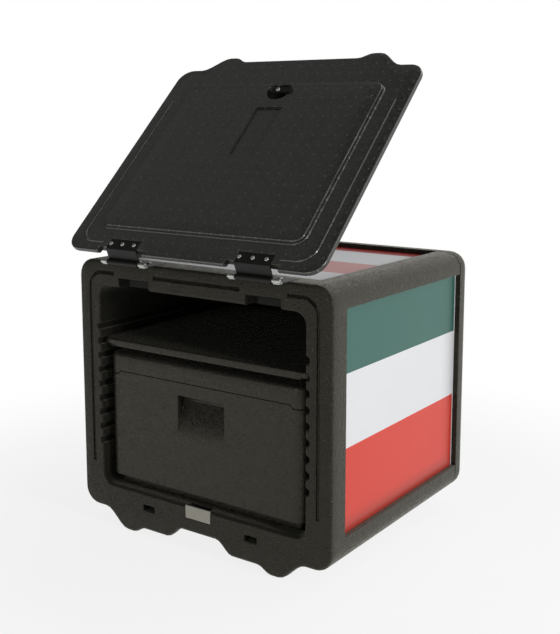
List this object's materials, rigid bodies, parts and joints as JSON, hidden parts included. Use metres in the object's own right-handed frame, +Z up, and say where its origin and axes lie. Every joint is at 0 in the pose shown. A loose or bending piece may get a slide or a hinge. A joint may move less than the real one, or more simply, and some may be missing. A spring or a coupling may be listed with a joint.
{
  "type": "insulated delivery box",
  "caption": "Front-loading insulated delivery box of moulded foam with a swing-up door, a sliding shelf, a pull-out inner box with a lid, and print panels.",
  "frame": {"origin": "centre of the flat underside of the plinth, which is the face the box stands on", "axes": "+Z up, the door side faces -Y, +X to the right seen from the door side"},
  "size_m": [0.525, 0.4977, 0.8315],
  "materials": {
    "body_foam": "moulded bead foam, satin",
    "inner_foam": "moulded bead foam, satin",
    "door_foam": "moulded bead foam, satin",
    "zinc_steel": "zinc plated",
    "black_steel": "black coated",
    "pale_plate": "pale coated, matt",
    "black_plastic": "fine grain",
    "printed_sheet": "printed, glossy"
  },
  "bodies": {
    "box": {"body_shell": "body_foam", "rear_cap": "body_foam", "rear_cap_screw_1": "zinc_steel", "rear_cap_screw_2": "zinc_steel", "rear_cap_screw_3": "zinc_steel", "rear_cap_screw_4": "zinc_steel", "print_panel_left": "printed_sheet", "print_panel_right": "printed_sheet", "print_panel_top": "printed_sheet", "keeper_plate": "pale_plate", "keeper_bar": "black_steel", "hinge_left_bracket": "zinc_steel", "hinge_left_pin": "zinc_steel", "hinge_left_clamp_block": "black_plastic", "hinge_left_screw_1": "zinc_steel", "hinge_left_screw_2": "zinc_steel", "hinge_right_bracket": "zinc_steel", "hinge_right_pin": "zinc_steel", "hinge_right_clamp_block": "black_plastic", "hinge_right_screw_1": "zinc_steel", "hinge_right_screw_2": "zinc_steel"},
    "door": {"door_panel": "door_foam", "latch_bush": "black_plastic", "hinge_left_leaf": "black_steel", "hinge_left_rivet_1": "zinc_steel", "hinge_left_rivet_2": "zinc_steel", "hinge_left_rivet_3": "zinc_steel", "hinge_right_leaf": "black_steel", "hinge_right_rivet_1": "zinc_steel", "hinge_right_rivet_2": "zinc_steel", "hinge_right_rivet_3": "zinc_steel"},
    "latch": {"latch_knob": "black_plastic", "latch_cam": "black_steel", "latch_cam_screw": "zinc_steel"},
    "shelf": {"shelf": "inner_foam"},
    "inner_box": {"inner_box_tub": "inner_foam"},
    "inner_lid": {"inner_box_lid": "inner_foam"}
  },
  "joints": [
    {"name": "door_hinge", "type": "hinge", "parent": "box", "child": "door", "pos_m": [0, -0.255, 0.4825], "axis": [1, 0, 0], "range_deg": [0, 226]},
    {"name": "latch_turn", "type": "hinge", "parent": "door", "child": "latch", "pos_m": [0, 0.02076, 0.7488], "axis": [0, -0.6947, 0.7193], "range_deg": [0, 90]},
    {"name": "shelf_slide", "type": "slide", "parent": "box", "child": "shelf", "axis": [0, 1, 0], "range_m": [-0.3, 0]},
    {"name": "inner_box_slide", "type": "slide", "parent": "box", "child": "inner_box", "axis": [0, 1, 0], "range_m": [-0.35, 0]},
    {"name": "inner_lid_lift", "type": "slide", "parent": "inner_box", "child": "inner_lid", "axis": [0, 0, 1], "range_m": [0, 0.008]}
  ]
}
